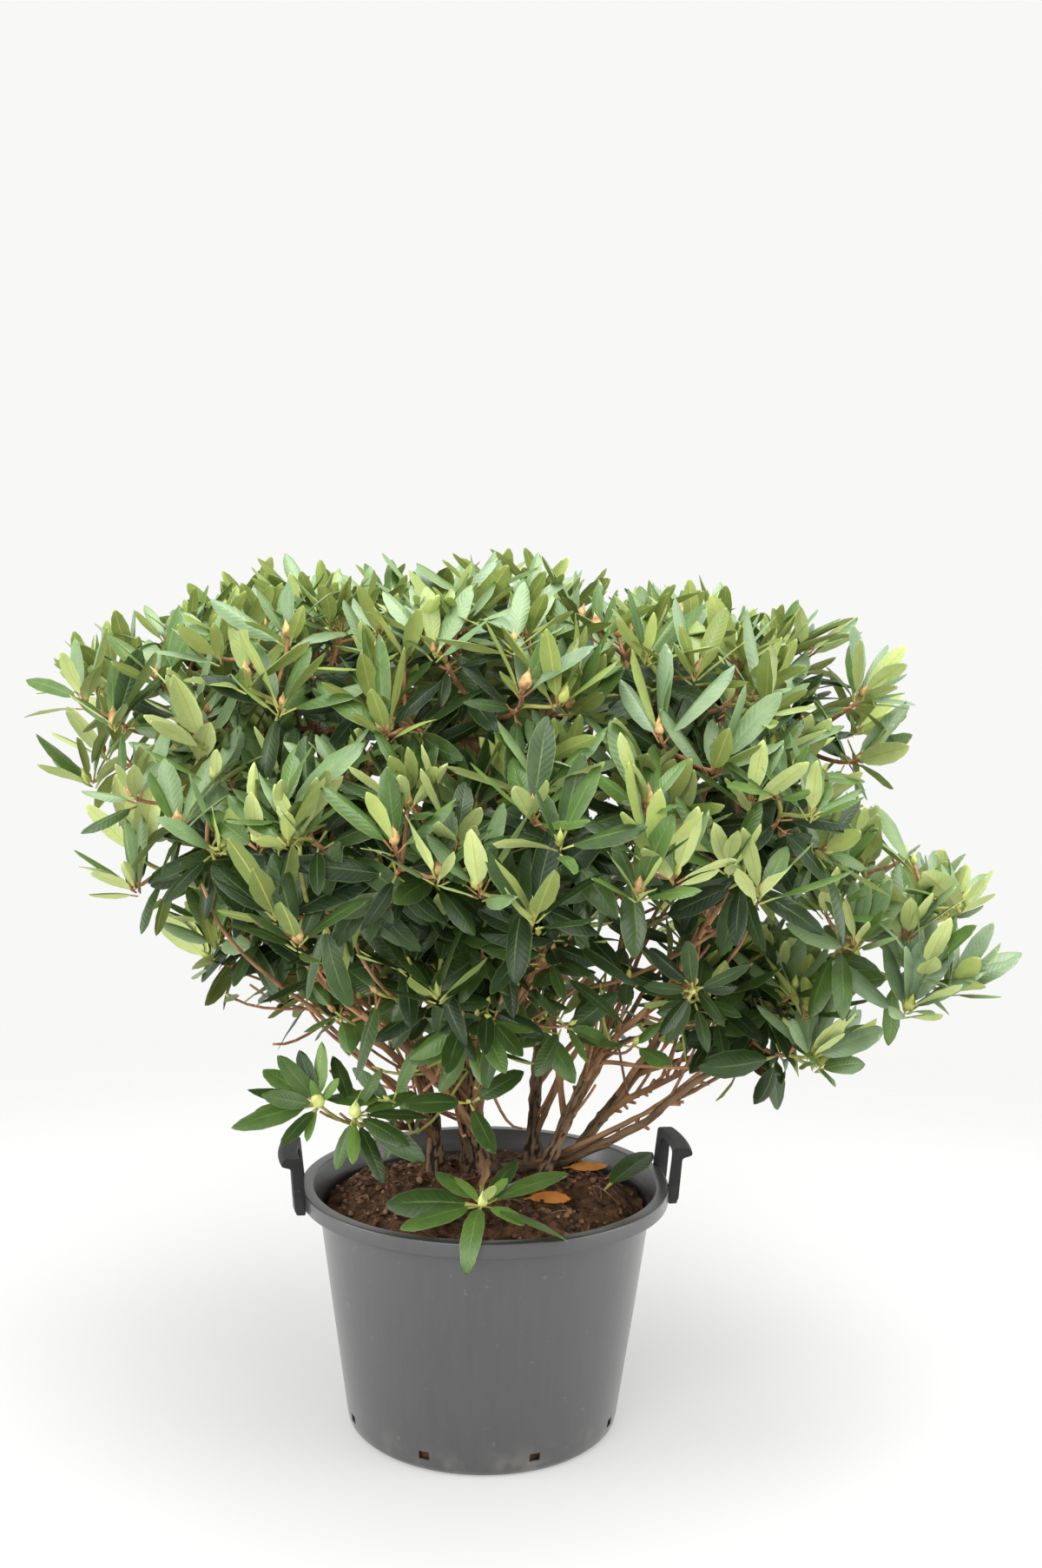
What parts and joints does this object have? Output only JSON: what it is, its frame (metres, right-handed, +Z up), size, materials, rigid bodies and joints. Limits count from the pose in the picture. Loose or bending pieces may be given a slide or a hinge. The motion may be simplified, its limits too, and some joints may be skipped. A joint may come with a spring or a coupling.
{
  "type": "potted rhododendron",
  "caption": "Broad evergreen rhododendron shrub with whorls of long leathery leaves and plump buds, growing in a round tapering nursery pot with side handles.",
  "frame": {"origin": "centre of the pot's flat underside, on the surface that the pot stands on", "axes": "+Z up; +X to the right, towards the long low wing of the crown, with the middle of the right handle 8 degrees round from it towards +Y; +Y to the back"},
  "size_m": [1.5121, 1.2927, 1.3938],
  "materials": {
    "pot_plastic": "satin",
    "compost": "matte",
    "stem_bark": "matte",
    "bough_bark": "matte",
    "foliage": "satin"
  },
  "bodies": {
    "root": {"pot": "pot_plastic", "handle_left": "pot_plastic", "handle_right": "pot_plastic", "compost": "compost", "stem_middle": "stem_bark", "stem_dark": "stem_bark", "stem_left": "stem_bark", "stem_right": "stem_bark", "stem_back": "stem_bark", "stem_far_right": "stem_bark", "stem_low": "stem_bark", "bough_upper_front_left": "bough_bark", "bough_upper_back_left": "bough_bark", "bough_upper_front_right": "bough_bark", "bough_outer_left": "bough_bark", "bough_outer_front_left": "bough_bark", "bough_front_left": "bough_bark", "bough_front_right": "bough_bark", "bough_outer_front_right": "bough_bark", "bough_outer_back_right": "bough_bark", "bough_outer_back": "bough_bark", "bough_outer_back_left": "bough_bark", "bough_low_left": "bough_bark", "bough_low_front": "bough_bark", "bough_low_right": "bough_bark", "bough_low_back": "bough_bark", "bough_spray_left": "bough_bark", "bough_spray_rim": "bough_bark", "foliage_crown_top": "foliage", "foliage_upper_front": "foliage", "foliage_upper_front_left": "foliage", "foliage_upper_left": "foliage", "foliage_upper_back_left": "foliage", "foliage_upper_back_right": "foliage", "foliage_upper_right": "foliage", "foliage_upper_front_right": "foliage", "foliage_outer_left": "foliage", "foliage_outer_front_left": "foliage", "foliage_front_left": "foliage", "foliage_front_right": "foliage", "foliage_outer_front_right": "foliage", "foliage_right_wing": "foliage", "foliage_right_shoulder": "foliage", "foliage_outer_back_right": "foliage", "foliage_outer_back": "foliage", "foliage_outer_back_left": "foliage", "foliage_low_left": "foliage", "foliage_low_front": "foliage", "foliage_low_right": "foliage", "foliage_low_back": "foliage", "foliage_spray_left": "foliage", "foliage_spray_rim": "foliage"}
  },
  "joints": []
}
